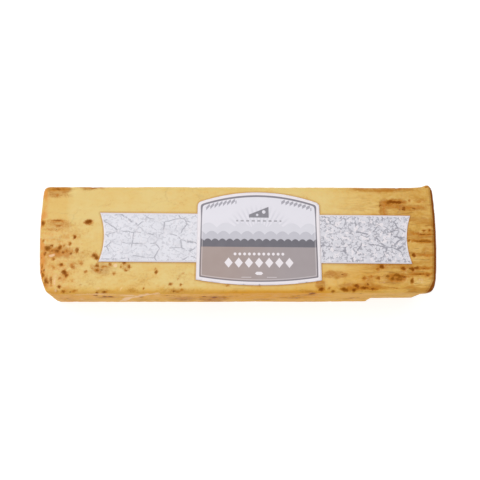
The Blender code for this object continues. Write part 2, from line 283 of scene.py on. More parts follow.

# Stains and painted highlights on the top: x, y, half length, half width and strength
topStains = {
    "dark": [
        (-107.9, 11.4, 3.2, 2.0, 1.0),
        (-117.3, 0.2, 1.3, 1.5, 0.95),
        (-139.9, 10.4, 2.2, 2.2, 0.8),
        (-129.9, 12.2, 5.5, 0.9, 0.7),
        (-128.5, 8.4, 2.6, 1.0, 0.75),
        (-136.0, -7.6, 2.6, 2.6, 0.85),
        (-129.6, -9.8, 2.8, 2.0, 0.85),
        (-127.5, -7.4, 1.8, 2.6, 0.85),
        (-125.1, -10.6, 1.2, 1.4, 0.9),
        (-122.5, -9.0, 1.4, 1.2, 0.7),
        (-120.5, -4.6, 1.5, 1.5, 0.85),
        (-115.7, -9.0, 1.2, 2.6, 0.8),
        (-131.9, -15.8, 1.4, 1.2, 0.75),
        (-103.1, -12.6, 2.4, 1.8, 0.85),
        (-101.5, -14.0, 2.0, 1.8, 1.0),
        (-100.5, -19.4, 1.4, 1.4, 0.9),
        (-101.1, -23.0, 1.6, 1.4, 0.85),
        (-104.3, -21.0, 1.0, 1.4, 0.55),
        (-95.9, -20.6, 2.6, 0.8, 0.6),
        (-91.9, -18.8, 1.3, 1.2, 0.8),
        (-81.9, -18.0, 1.8, 1.2, 0.95),
        (-78.5, -20.6, 1.0, 1.7, 0.85),
        (-80.9, -23.0, 1.9, 0.9, 0.75),
        (-84.5, -20.8, 1.0, 1.4, 0.65),
        (-89.5, -25.8, 1.5, 1.2, 0.6),
        (-108.7, -24.2, 1.6, 1.6, 0.6),
        (-125.5, -19.6, 2.1, 1.4, 0.85),
        (-123.9, -24.6, 2.5, 2.2, 1.0),
        (-122.3, -26.8, 1.7, 1.5, 0.9),
        (-126.5, -28.8, 0.8, 1.4, 0.65),
        (-117.9, -20.2, 2.2, 2.4, 0.5),
        (-112.3, -18.0, 2.2, 1.8, 0.55),
        (-136.3, -30.6, 1.8, 3.4, 0.75),
        (-132.9, -30.6, 1.1, 4.6, 0.7),
        (-126.9, -34.6, 1.8, 1.8, 0.85),
        (-124.1, -37.8, 2.4, 1.8, 0.7),
        (-115.9, -37.6, 2.6, 1.2, 0.45),
        (-59.7, -24.4, 1.4, 1.6, 0.95),
        (-60.9, -22.2, 0.9, 1.4, 0.5),
        (-49.5, -33.2, 1.6, 1.2, 0.95),
        (-42.9, -33.4, 1.4, 1.2, 0.85),
        (-41.9, -37.0, 1.1, 1.1, 0.6),
        (-68.5, -36.0, 0.9, 1.1, 0.75),
        (-40.5, -25.6, 1.2, 1.0, 0.45),
        (-44.3, -29.2, 0.9, 1.6, 0.35),
        (-9.9, -34.0, 2.6, 0.8, 0.5),
        (56.7, -37.0, 2.4, 1.7, 0.95),
        (54.1, -32.2, 2.0, 0.9, 0.5),
        (62.1, -36.6, 1.5, 1.1, 0.55),
        (65.1, -38.6, 1.6, 0.9, 0.8),
        (73.5, -37.2, 3.8, 1.4, 1.0),
        (80.1, -37.8, 1.7, 1.6, 1.0),
        (81.9, -34.4, 2.4, 1.4, 1.0),
        (87.7, -36.2, 4.6, 1.2, 0.95),
        (84.0, -36.6, 9.0, 1.6, 0.6),
        (136.4, 38.0, 1.8, 1.4, 0.55),
        (94.1, -37.0, 3.4, 1.0, 0.8),
        (87.5, -29.2, 2.2, 1.4, 0.7),
        (92.1, -28.0, 2.0, 0.9, 0.5),
        (97.5, -29.4, 2.0, 1.4, 0.8),
        (100.7, -21.2, 2.2, 2.0, 1.0),
        (99.1, -19.2, 2.2, 0.8, 0.8),
        (91.1, -19.4, 1.4, 0.7, 0.55),
        (97.5, -23.2, 1.8, 1.4, 0.75),
        (116.1, -22.8, 2.0, 1.6, 1.0),
        (123.1, -22.8, 1.8, 1.8, 1.1),
        (123.9, -13.0, 2.0, 1.7, 1.05),
        (124.1, -16.8, 0.9, 0.9, 0.55),
        (120.9, -2.0, 1.0, 1.6, 0.8),
        (107.9, -30.0, 2.6, 1.8, 0.9),
        (113.1, -27.8, 7.0, 1.3, 0.95),
        (112.1, -30.0, 6.5, 2.4, 0.62),
        (121.9, -31.4, 1.5, 2.8, 0.95),
        (132.7, -28.0, 2.6, 1.2, 0.7),
        (110.3, -36.6, 1.4, 0.7, 0.5),
        (97.1, -37.2, 1.6, 0.8, 0.5),
        (108.7, 26.2, 3.6, 1.5, 0.9),
        (107.5, 24.4, 5.0, 2.8, 0.45),
        (115.7, 25.6, 3.4, 1.0, 0.75),
        (123.1, 27.2, 1.3, 0.9, 0.6),
        (130.5, 26.4, 2.4, 0.8, 0.5),
        (132.7, 5.8, 2.2, 1.1, 0.75),
        (137.5, 5.8, 1.6, 1.6, 0.8),
        (104.5, 18.0, 1.2, 1.8, 0.5),
        (117.1, 36.8, 1.8, 0.8, 0.7),
        (-103.5, 37.2, 5.0, 1.1, 0.9),
        (-133.5, -5.4, 1.4, 1.2, 0.8),
        (-100.9, -39.0, 1.6, 0.9, 0.9),
        (-95.5, -38.8, 2.4, 0.9, 0.95),
        (-118.3, -30.6, 1.0, 1.4, 0.4),
        (-130.9, -21.6, 1.0, 1.6, 0.5),
        (-112.5, -33.6, 1.6, 1.0, 0.45),
        (-128.9, -37.6, 2.4, 1.2, 0.45),
        (-132.9, -9.2, 1.6, 1.4, 0.7),
        (-137.5, -11.6, 1.2, 2.0, 0.7),
        (-128.3, -12.2, 2.0, 0.9, 0.6),
        (-124.3, -6.0, 1.0, 1.0, 0.7),
        (-139.3, -2.6, 1.0, 1.8, 0.6),
        (-139.5, -20.6, 1.0, 2.4, 0.7),
        (-138.3, -26.6, 1.2, 2.2, 0.8),
        (131.1, -2.2, 10.0, 1.1, 0.85),
        (132.1, 2.7, 9.0, 0.8, 0.9),
        (131.1, -22.0, 9.0, 0.8, 0.6),
        (112.1, 26.3, 9.0, 1.2, 1.1),
        (103.9, 21.4, 1.6, 4.6, 0.35),
        (121.1, 22.4, 14.0, 0.8, 0.5),
        (129.1, -26.4, 11.0, 0.9, 0.8),
        (132.1, -12.4, 8.0, 0.7, 0.55),
        (-130.1, 30.8, 1.6, 0.8, 0.5),
        (-130.0, 35.0, 8.0, 1.6, 0.6),
    ],
    "smear": [
        (-129.4, 35.2, 11.0, 3.6, 1.5),
        (-129.9, 30.9, 12.0, 2.4, 0.7),
        (-106.9, 37.4, 12.0, 2.6, 1.0),
        (-113.9, -12.6, 12.0, 5.0, 0.4),
        (-127.9, 8.6, 12.0, 5.4, 0.6),
        (-126.9, -10.4, 11.5, 5.6, 1.05),
        (-120.9, 2.4, 16.0, 8.0, 0.28),
        (-125.9, -22.6, 14.0, 13.0, 0.28),
        (-107.9, -32.6, 14.0, 8.0, 0.26),
        (-71.9, -30.6, 20.0, 8.0, 0.22),
        (-42.0, -27.0, 9.0, 9.0, 0.32),
        (-138.9, -18.6, 3.0, 16.0, 0.6),
        (-119.9, -11.6, 8.0, 1.2, 0.35),
        (-107.9, 11.2, 4.4, 3.0, 0.5),
        (-102.3, -13.0, 3.4, 3.4, 0.6),
        (-97.5, -22.0, 9.0, 5.4, 0.75),
        (-81.1, -20.6, 5.0, 4.4, 0.55),
        (-123.5, -24.6, 4.6, 5.0, 0.6),
        (-118.0, -18.6, 8.0, 4.6, 0.5),
        (-135.9, -30.6, 3.4, 6.0, 0.5),
        (-120.9, -37.0, 9.0, 3.6, 0.35),
        (-97.9, -38.0, 10.0, 1.8, 0.5),
        (-75.9, -37.6, 6.0, 2.4, 0.5),
        (-44.9, -37.6, 14.0, 3.0, 0.6),
        (-42.5, -27.6, 3.0, 3.4, 0.4),
        (-11.9, -38.0, 14.0, 2.2, 0.2),
        (48.1, -38.2, 8.0, 1.8, 0.7),
        (56.5, -33.6, 4.4, 3.4, 1.1),
        (67.1, -27.0, 10.0, 2.8, 1.3),
        (83.1, -35.6, 18.0, 3.2, 1.1),
        (92.1, -29.2, 9.0, 2.6, 0.6),
        (91.1, -32.6, 5.0, 2.4, 0.6),
        (110.1, -28.8, 10.5, 3.4, 1.2),
        (122.1, -26.6, 18.0, 1.6, 0.9),
        (106.1, -21.4, 12.0, 3.0, 0.55),
        (128.1, -22.0, 13.0, 1.8, 1.0),
        (130.1, -12.0, 10.0, 2.0, 0.6),
        (130.1, -2.2, 12.0, 1.8, 1.0),
        (130.1, 2.8, 12.0, 2.0, 0.8),
        (122.5, 5.0, 2.2, 3.0, 0.4),
        (112.1, 26.2, 11.0, 2.6, 1.4),
        (109.0, 23.4, 7.0, 4.0, 1.0),
        (103.7, 21.4, 3.8, 7.4, 1.2),
        (122.1, 22.2, 18.0, 2.6, 1.1),
        (132.1, 27.4, 8.0, 1.6, 0.55),
        (103.1, 36.6, 28.0, 3.0, 1.2),
        (133.1, -35.6, 6.0, 3.4, 0.15),
    ],
    # painted highlights, where the glossy skin catches the light
    "pale": [
        (-132.9, -12.8, 2.6, 1.3, 1.0),
        (-132.9, -3.8, 2.6, 0.9, 0.5),
        (-121.5, -6.6, 1.6, 1.0, 0.5),
        (-130.1, -30.6, 1.9, 7.0, 0.5),
        (-129.5, -37.6, 1.6, 1.6, 0.7),
        (-103.9, 13.8, 1.6, 1.2, 0.4),
        (-88.5, -19.6, 1.8, 1.8, 1.0),
        (-95.5, -18.8, 1.8, 1.0, 0.6),
        (-81.1, -20.8, 1.2, 1.0, 0.6),
        (-84.1, -36.2, 0.7, 2.6, 0.7),
        (-79.9, -36.2, 0.6, 2.4, 0.5),
        (-99.9, -36.2, 3.0, 1.4, 0.45),
        (104.7, -25.0, 4.0, 0.8, 0.45),
        (117.1, -25.0, 4.0, 0.7, 0.4),
        (100.1, -32.2, 5.0, 1.4, 0.4),
        (128.1, -31.6, 5.0, 2.6, 0.45),
        (77.1, -22.0, 4.0, 0.8, 0.4),
        (130.1, 0.2, 7.0, 0.6, 0.4),
    ],
}

# Stains and painted highlights on the front: x, height, half length, half height and strength
frontStains = {
    "dark": [
        (-103.4, 45.0, 1.8, 4.5, 0.95),
        (-97.4, 39.0, 1.9, 4.5, 0.95),
        (-93.6, 37.0, 2.3, 5.0, 1.0),
        (-72.0, 34.0, 1.9, 3.6, 0.8),
        (-26.0, 36.0, 2.6, 4.0, 0.8),
        (-18.6, 29.0, 2.6, 6.0, 1.0),
        (-22.0, 14.0, 3.2, 6.0, 0.6),
        (-11.6, 33.0, 2.2, 3.0, 0.75),
        (51.0, 50.0, 2.6, 6.0, 1.0),
        (22.0, 14.0, 1.6, 2.4, 0.6),
        (84.0, 22.0, 2.0, 1.6, 0.6),
        (-62.0, 14.0, 1.8, 2.6, 0.6),
    ],
    "smear": [
        (-97.0, 34.0, 9.0, 9.0, 0.7),
        (-19.0, 22.0, 12.0, 20.0, 1.4),
        (-42.0, 22.0, 14.0, 20.0, 0.75),
        # the next two rows darken the lower part of the front
        (-72.0, 16.0, 9.0, 14.0, 0.45),
        (-114.0, 18.0, 14.0, 12.0, 0.4),
        (50.0, 44.0, 8.0, 8.0, 0.65),
        (20.0, 16.0, 15.0, 7.0, 0.5),
        (-126.0, 22.0, 9.0, 18.0, 0.5),
        (86.0, 18.0, 14.0, 5.0, 0.5),
    ],
    # painted highlights, soft glints where the front catches the light
    "pale": [
        (-116.0, 24.0, 3.0, 9.0, 0.5),
        (-40.0, 20.0, 7.0, 2.0, 0.4),
        (5.0, 34.0, 8.0, 2.0, 0.4),
        (-112.0, 52.0, 9.0, 3.0, 0.5),
        (-100.0, 53.0, 16.0, 3.0, 0.6),
        (-80.0, 44.0, 10.0, 7.0, 0.6),
    ],
}

stainDepth = 7.0  # how far a listed stain reaches below the face that it is on
# painted shadow on the cheese beside the papers
paperShadowReach = (1.5, 0.2)  # the cheese darkens between these distances from a paper
sideHeights = (56.0, 50.0)  # between these the top gives way to the faces that the photograph hardly shows

# Folds that stand out of the skin and carry a painted highlight: start, end and width
folds = [
    ((-90, -39.3, 2), (-82, -39.3, 30), 6.0),
    ((-82, -39.3, 30), (-66, -39.0, 52), 6.5),
    ((-66, -39.0, 52), (-58, -38.6, 55), 3.0),
]

# The foot of the front and the ear stand out to sharper lines than the softened mesh
foot = {
    "heights": (4.0, 0.5),
    "fromFront": (7.0, 3.0),
    "furtherAlong": (-100.0, -20.0),  # it reaches further to the right of these
    "further": 0.6,
}

ear = {
    "centre": (137.8, 39.0, 57.0),
    "reach": (3.0, 5.0, 9.0),
}

# Sizes of the skin's patterns, in every direction or along X, Y and Z, each with its seed
skinPatterns = {
    "seamPatches": (16.0, 3.3),
    "seams": ((24.0, 13.0, 13.0), 5.0),
    "slitPatches": (24.0, 6.1),
    "sideClouds": ((30.0, 16.0, 16.0), 8.3),
    "foldGlintPatches": (7.0, 4.4),
    "chips": (5.0, 2.2),
    "grain": ((30.0, 3.0, 3.0), 6.6),
}

# The inputs of the skin's tree that are lengths, and where each one's value is
skinInputs = {
    "Swell height": "swellHeight",
    "Swell size": "swellSize",
    "Pit depth": "pitDepth",
    "Chip depth": "chipDepth",
    "Knit depth": "knitDepth",
    "Grain depth": "grainDepth",
    "Fold height": "foldHeight",
    "Foot reach": "footReach",
    "Ear reach": "earReach",
}


def stainRows(kind):
    # the listed stains of one kind as centres, reaches and strengths in space
    rows = []
    for x, y, halfLength, halfWidth, strength in topStains[kind]:
        rows.append(((x, y, blockHigh.z), (halfLength, halfWidth, stainDepth), strength))
    for x, z, halfLength, halfHeight, strength in frontStains[kind]:
        rows.append(((x, blockLow.y, z), (halfLength, stainDepth, halfHeight), strength))
    return rows


def offTop(z):
    # 1 on the faces that the photograph hardly shows
    return z.fade(*sideHeights)


def cracks(at, size, seed, start, end):
    # lines between uneven cells: 0 farther from a line than start, 1 nearer than end
    sockets = {"Vector": placed(at, size, seed), "Scale": 1.0}
    return at.node("ShaderNodeTexVoronoi", {"feature": "DISTANCE_TO_EDGE"}, sockets).fade(start, end)


def knitLines(at):
    # seams between pressed curds: 1 on a seam
    bent = drifted(at, 12.0, 9.0, 2.7)
    parted = noise(at, *skinPatterns["seamPatches"]).fade(0.42, 0.62)
    return cracks(bent, *skinPatterns["seams"], 0.06, 0.0) * parted


def slits(at):
    # short openings where curds didn't quite close
    bent = drifted(at, 5.0, 3.0, 1.9)
    chance = noise(at, *skinPatterns["slitPatches"]).fade(0.48, 0.75) * 0.6
    return dots(bent, (9.0, 2.4, 3.2), chance, 2.9, edge=0.1)


def foldLines(at):
    # 1 along the listed folds, which wander a little
    bent = drifted(at, 16.0, 3.0, 6.2)
    return strongest([fold(bent, start, end, width) for start, end, width in folds])


def edgeCloseness(x, y, z):
    # distance from the nearest edge of the block's box
    fromEnd = blockHigh.x - abs(x)
    fromSide = blockHigh.y - abs(y)
    fromFace = z.least(blockHigh.z - z)
    nearest = fromEnd.least(fromSide).least(fromFace)
    farthest = fromEnd.most(fromSide).most(fromFace)
    return fromEnd + fromSide + fromFace - nearest - farthest


def stainMasks(at, hidden, ridges):
    # the listed stains and painted highlights with ragged edges, scattered stains on the faces that hardly
    # show, and painted highlights along the folds
    ragged = drifted(drifted(at, 9.0, 3.0, 3.3), 2.4, 1.7, 5.9)
    masks = {kind: patches(ragged, stainRows(kind), soft=0.9) for kind in topStains}
    clouds = noise(at, *skinPatterns["sideClouds"])
    chance = clouds.fade(0.48, 0.66) * 0.95
    peppered = dots(drifted(at, 3.0, 2.4, 1.3), (4.6, 3.4, 3.4), chance, 7.7, edge=0.25)
    masks["dark"] = masks["dark"].most(peppered * hidden * 0.6)
    masks["smear"] = masks["smear"].most(clouds.fade(0.50, 0.78) * hidden * 0.6)
    # the painted highlight along the folds, broken into patches
    patchy = noise(at, *skinPatterns["foldGlintPatches"]).fade(0.34, 0.60, 0.30, 0.75)
    highlightShare = ridges.fade(0.1, 0.9) * patchy
    masks["pale"] = masks["pale"].most(highlightShare)
    return masks


def outToEdges(root, at, wires):
    # how far the skin moves along Y, out to the foot of the front and back to the ear
    x, y, z = at.split()
    nearFoot = z.fade(*foot["heights"]) * (y - blockLow.y).fade(*foot["fromFront"])
    forwards = nearFoot * (x.fade(*foot["furtherAlong"]) * foot["further"] + wires["Foot reach"])
    backwards = patch(at, ear["centre"], ear["reach"], soft=0.9) * wires["Ear reach"]
    return root.node("ShaderNodeCombineXYZ", {}, {"Y": (backwards - forwards) * millimetre})


def shadowBesidePapers(root, position, wires, papers):
    # 1 on the cheese close beside the papers, where a shadow is painted
    near = []
    for name in papers:
        settings = {"transform_space": "RELATIVE"}
        sheet = root.node("GeometryNodeObjectInfo", settings, {"Object": wires[name]}, "Geometry")
        sockets = {0: sheet, "Sample Position": position}
        away = root.node("GeometryNodeProximity", {"target_element": "FACES"}, sockets, "Distance")
        near.append((away / millimetre).fade(*paperShadowReach))
    return strongest(near)


def cheeseSkin(material, papers):
    # moves the skin in at pits, seams, slits and chipped edges and out along folds,
    # and stores where the stains, the painted highlights and the painted shade lie for the material
    inputs = {name: "NodeSocketFloat" for name in skinInputs}
    inputs.update({name: "NodeSocketObject" for name in papers})
    root, wires = newTree("cheeseSkin", inputs)
    position = root.node("GeometryNodeInputPosition")
    normal = root.node("GeometryNodeInputNormal")
    at = position.scaled(1 / millimetre)
    x, y, z = at.split()
    hidden = offTop(z)
    ridges = foldLines(at)
    masks = stainMasks(at, hidden, ridges)

    swell = root.node("ShaderNodeTexNoise", {}, {"Vector": at, "Scale": 1.0 / wires["Swell size"]})
    crumbled = noise(at, *skinPatterns["chips"], detail=3.0).fade(0.45, 0.75)
    chips = edgeCloseness(x, y, z).fade(5.0, 0.5) * crumbled
    seams = knitLines(at)
    grain = noise(at, *skinPatterns["grain"], detail=2.0) * x.fade(40.0, 100.0).most(0.25)
    openings = slits(at) * hidden.most(0.15)
    inwards = (
        swell * wires["Swell height"]
        + masks["dark"].most(openings) * wires["Pit depth"]
        + chips * wires["Chip depth"]
        + seams * wires["Knit depth"]
        + grain * wires["Grain depth"]
    )
    above = z.fade(0.5, 3.0)  # the underside stays level
    shift = (ridges * wires["Fold height"] - inwards) * above * millimetre
    moved = root.vector("ADD", normal.scaled(shift), outToEdges(root, at, wires))
    sockets = {"Geometry": wires["Geometry"], "Offset": moved}
    geometry = root.node("GeometryNodeSetPosition", {}, sockets)

    # painted shade in the openings, chipped edges and seams
    masks["hollow"] = openings.most(chips * 0.6).most(seams * 0.4)
    masks["nearPaper"] = shadowBesidePapers(root, position, wires, papers)
    onPoints = {"data_type": "FLOAT", "domain": "POINT"}
    for name, mask in masks.items():
        sockets = {"Geometry": geometry, "Name": name, "Value": mask}
        geometry = root.node("GeometryNodeStoreNamedAttribute", onPoints, sockets)
    endTree(root, geometry, material)
    return root.tree


cheeseColours = {
    "paleStraw": (229, 201, 130),
    "straw": (227, 189, 109),
    "honey": (219, 173, 90),
    "amber": (199, 145, 54),
    "toffee": (178, 118, 38),
    "smear": (184, 118, 36),
    "halo": (202, 128, 36),
    "dark": (128, 64, 2),
    "olive": (136, 80, 8),
    # the colour of the painted highlights
    "pale": (250, 212, 172),
    "rim": (130, 62, 0),
    "leftRim": (224, 146, 66),
    "edge": (241, 181, 76),
    "glow": (225, 154, 28),
    "side": (237, 183, 82),
}

# The ground colour runs from one of these to the next as the tone goes from 0 to 1
toneStops = {"paleStraw": 0.0, "straw": 0.25, "honey": 0.5, "amber": 0.78, "toffee": 1.0}

# What each cause adds to the tone, where it is at its full strength
toneShares = {
    "base": 0.06,
    "right": 0.43,
    "front": 0.12,
    "left": 0.08,
    "hidden": 0.15,
    "backLeft": 0.20,
    "frontRight": -0.18,
    "clouds": 0.45,
    "mottle": 0.50,
    "fleck": 0.36,
}

# How fully each colour covers what is under it
cover = {
    "edge": 0.35,
    "edgeMoreOnFront": 0.15,
    "side": 0.45,
    "glowOnTop": 0.30,
    "grain": 0.60,
    "thinGrain": 0.40,
    "smear": 0.84,
    "leftRim": 0.8,
    "halo": 0.75,
    "stain": 0.90,
    # how fully the painted shade in the hollows covers
    "hollow": 0.45,
    # how fully the painted highlights cover
    "pale": 0.7,
    # how fully the painted shadow beside the papers covers
    "nearPaper": 0.65,
    "rim": 0.92,
}

# The dark rim along the upper edge of the right end, and round its worn front corner
rim = {
    "inset": 0.1,
    "bow": 1.9,
    "crown": 0.24,  # share of the half depth at which the end stands out most
    "cornerInset": 6.7,
    "cornerRise": 0.45,
    "cornerNormal": (0.88, 0.476),
    "cornerGap": 0.3,
    "width": (3.5, 2.6),
    "softWidth": (4.8, 3.8),
    "softShare": 0.35,
    "heights": (44.0, 57.0),
}

# Sizes of the colour's patterns, in every direction or along X, Y and Z, each with its seed
patterns = {
    "clouds": ((40.0, 22.0, 22.0), 1.1),
    "mottle": ((8.0, 4.5, 4.5), 2.4),
    "fleck": ((2.6, 1.8, 1.8), 7.9),
    "crumb": (1.5, 5.5),
    "lumps": ((5.0, 3.0, 3.0), 1.6),
    "broadStreaks": ((34.0, 4.2, 4.2), 6.6),
    "thinStreaks": ((24.0, 1.3, 1.3), 3.9),
    "orange": (9.0, 2.9),
    "olive": (26.0, 9.1),
    "roughness": (5.0, 9.4),
    "bumps": (2.4, 1.9),
}

# Where the looks change along X, or with the distance from the front; a fade's start and end
zones = {
    "right": (58.0, 112.0),
    "left": (-96.0, -128.0),
    "leftDepth": (22.0, 2.0),
    "front": (46.0, 1.0),
    "backLeft": (-120.0, -125.0),
    "backLeftDepth": (0.0, 9.0),
    "frontRight": (92.0, 110.0),
    "frontRightDepth": (15.0, 9.0),
    "frontEdge": (7.0, 0.5),
    "glowFrom": (-60.0, 8.0),
    "glowTo": (72.0, 56.0),
    "glowOnFront": (4.0, 0.5),
    "topGlowFrom": (30.0, 50.0),
    "topGlowDepth": (24.0, 10.0),
    "glowEnd": (112.0, 88.0),
    "glowHeights": (6.0, 30.0),
    "streakDepth": (36.0, 12.0),
    "orangeHeights": (44.0, 56.0),
    "matt": (2.0, 6.0),
}


def cheeseSpot(root):
    # what the looks depend on at a spot of the cheese: its place, shared noises and the stored masks
    at = root.node("ShaderNodeTexCoord", take="Object").scaled(1 / millimetre)
    x, y, z = at.split()
    spot = SimpleNamespace(at=at, x=x, y=y, z=z, hidden=offTop(z), fromFront=y - blockLow.y)
    spot.toRight = x.fade(*zones["right"])
    spot.toLeft = x.fade(*zones["left"]) * y.fade(*zones["leftDepth"])
    spot.toFront = spot.fromFront.fade(*zones["front"])
    spot.mottle = noise(at, *patterns["mottle"], detail=3.0) - 0.5
    spot.crumb = noise(at, *patterns["crumb"], detail=4.0, rough=0.7) - 0.5
    for name in ("dark", "smear", "pale", "hollow", "nearPaper"):
        mask = root.node("ShaderNodeAttribute", {"attribute_name": name}, take="Fac")
        setattr(spot, name, mask)
    return spot


def cheeseTone(spot):
    # pale at the back and left, and darker and rougher to the right, to the front and on the sides
    clouds = noise(spot.at, *patterns["clouds"]) - 0.5
    fleck = noise(spot.at, *patterns["fleck"], detail=2.0) - 0.5
    rougher = 0.5 + spot.toRight.most(spot.toFront).most(spot.hidden).most(spot.toLeft * 1.3) * 0.7
    toBackLeft = (spot.x + spot.mottle * 5.0).fade(*zones["backLeft"])
    toFrontRight = spot.x.fade(*zones["frontRight"])
    causes = {
        "right": spot.toRight,
        "front": spot.toFront,
        "left": spot.toLeft,
        "hidden": spot.hidden,
        "backLeft": toBackLeft * spot.y.fade(*zones["backLeftDepth"]),
        "frontRight": toFrontRight * spot.fromFront.fade(*zones["frontRightDepth"]),
        "clouds": clouds,
        "mottle": spot.mottle * rougher,
        "fleck": fleck * rougher,
    }
    return sum((cause * toneShares[name] for name, cause in causes.items()), toneShares["base"])


def groundColour(root, spot, colour):
    # the tone's colour, with a warmer front edge and sides and a glow along the front's middle
    stops = [(place, colour[name]) for name, place in toneStops.items()]
    skin = root.node("ShaderNodeValToRGB", {"stops": stops}, {0: cheeseTone(spot)})
    edgeCover = spot.hidden * cover["edgeMoreOnFront"] + cover["edge"]
    skin = (spot.fromFront.fade(*zones["frontEdge"]) * edgeCover).blend(skin, colour["edge"])
    skin = (spot.hidden * cover["side"]).blend(skin, colour["side"])
    alongFront = spot.x.fade(*zones["glowFrom"], 0.4, 0.85) * spot.x.fade(*zones["glowTo"], 0.35, 1.0)
    onFront = alongFront * spot.fromFront.fade(*zones["glowOnFront"])
    onTop = spot.x.fade(*zones["topGlowFrom"]) * spot.fromFront.fade(*zones["topGlowDepth"])
    glow = onFront.most(onTop * cover["glowOnTop"]) * spot.x.fade(*zones["glowEnd"])
    glow = glow * spot.z.fade(*zones["glowHeights"], 0.5, 1.0)
    return glow.blend(skin, colour["glow"])


def grained(spot, skin, colour):
    # streaks along the block, mostly at the right; also gives how strong the broad ones are
    bent = drifted(spot.at, 14.0, 5.0, 4.7)
    broad = noise(bent, *patterns["broadStreaks"], detail=4.0, rough=0.6).fade(0.48, 0.62)
    thin = noise(bent, *patterns["thinStreaks"], detail=2.0).fade(0.56, 0.70)
    weight = spot.toRight * spot.y.fade(*zones["streakDepth"], 0.5, 1.0) * (1.0 - spot.hidden * 0.5)
    weight = weight.most(spot.hidden * 0.16)
    skin = (broad * weight * cover["grain"]).blend(skin, colour["smear"])
    skin = (thin * weight * cover["thinGrain"]).blend(skin, colour["dark"])
    return skin, broad * weight


def smearedOver(spot, skin, colour):
    # broad brown smears, and an orange left end; also gives how strong the smears are
    lumpy = noise(spot.at, *patterns["lumps"], detail=3.0, rough=0.6).fade(0.36, 0.60, 0.55, 1.0)
    smeared = (spot.smear + spot.crumb * 0.9 + spot.mottle * 0.6).fade(0.10, 0.74) * lumpy
    skin = (smeared * cover["smear"]).blend(skin, colour["smear"])
    orange = (spot.x - blockLow.x).fade(9.0, 2.0) * spot.z.fade(*zones["orangeHeights"], 0.15, 1.0)
    orange = orange * noise(spot.at, *patterns["orange"], detail=3.0).fade(0.36, 0.62, 0.3, 1.0)
    orange = orange.most(spot.toLeft * lumpy * 0.45)
    skin = ((orange + spot.crumb * 0.8).fade(0.1, 0.9) * cover["leftRim"]).blend(skin, colour["leftRim"])
    return skin, smeared


def spotted(spot, skin, colour, smeared):
    # dark spots with a halo, pepper where it is smeared or brown, painted shade in the hollows, painted
    # highlights and painted shadow beside the papers; also gives how dark the spots are
    chance = smeared * 0.55 + spot.toRight * 0.2 + spot.toFront * 0.14 + spot.toLeft * 0.2
    chance = chance + spot.hidden * 0.1 - 0.04
    pepper = dots(drifted(spot.at, 2.0, 1.6, 8.8), (3.6, 2.4, 2.4), chance, 4.2, edge=0.2)
    halo = (spot.dark + spot.crumb * 0.7 + spot.mottle * 0.4).fade(0.02, 0.45)
    skin = (halo * cover["halo"]).blend(skin, colour["halo"])
    darkened = (spot.dark + spot.crumb * 0.9).fade(0.24, 0.86).most(pepper * 0.8)
    browns = noise(spot.at, *patterns["olive"]).fade(0.50, 0.66).blend(colour["dark"], colour["olive"])
    skin = (darkened * cover["stain"]).blend(skin, browns)
    # painted shade in the hollows
    skin = (spot.hollow.fade(0.1, 0.9) * cover["hollow"]).blend(skin, colour["dark"])
    # painted highlights
    highlightShare = (spot.pale + spot.crumb).fade(0.25, 0.7)
    skin = (highlightShare * cover["pale"]).blend(skin, colour["pale"])
    # painted shadow beside the papers
    skin = (spot.nearPaper * cover["nearPaper"]).blend(skin, colour["smear"])
    return skin, darkened


def rimMask(spot):
    # 1 on the rim, by the distance in from the right end's outline and from its worn front corner
    offCrown = spot.y / blockHigh.y - rim["crown"]
    fromEnd = blockHigh.x - rim["inset"] - offCrown * offCrown * rim["bow"] - spot.x
    alongX, alongY = rim["cornerNormal"]
    fromCorner = (blockHigh.x - rim["cornerInset"] - spot.x) * alongX
    fromCorner = fromCorner + (spot.fromFront - rim["cornerRise"]) * alongY + rim["cornerGap"]
    inwards = fromEnd.least(fromCorner) + spot.crumb * 0.8
    mask = (inwards.fade(*rim["softWidth"]) * rim["softShare"]).most(inwards.fade(*rim["width"]))
    return mask * spot.z.fade(*rim["heights"], 0.10, 1.0)


def cheeseMaterial():
    material, root = newMaterial("smokedCheese")
    colour = {name: paint(*value) for name, value in cheeseColours.items()}
    spot = cheeseSpot(root)
    skin, streaks = grained(spot, groundColour(root, spot, colour), colour)
    skin, smeared = smearedOver(spot, skin, colour)
    skin, darkened = spotted(spot, skin, colour, smeared)
    rimmed = rimMask(spot)
    skin = (rimmed * cover["rim"]).blend(skin, colour["rim"])

    glossy = spot.hidden.fade(0.0, 1.0, cheese["coat"], cheese["coat"] * 0.15)
    glossy = glossy * (1.0 - darkened.most(rimmed)) * spot.fromFront.fade(*zones["matt"])
    rough = noise(spot.at, *patterns["roughness"], detail=3.0).fade(0.3, 0.7, 0.36, 0.54)
    height = noise(spot.at, *patterns["bumps"], detail=4.0, rough=0.6) * 0.5 + spot.crumb * 0.35
    height = height - darkened * 0.6 - streaks * 0.35
    bumps = {"Strength": 0.6, "Distance": millimetre * 0.5, "Height": height}
    sockets = {
        "Base Color": skin,
        "Roughness": rough,
        "Normal": root.node("ShaderNodeBump", {}, bumps),
        "Coat Weight": glossy,
        "Coat Roughness": 0.2,
        "Specular IOR Level": cheese["shine"],
        "Subsurface Weight": 0.10,
        "Subsurface Radius": (1.0, 0.55, 0.2),
        "Subsurface Scale": 0.0015,  # metres
    }
    finishMaterial(root, sockets)
    return material


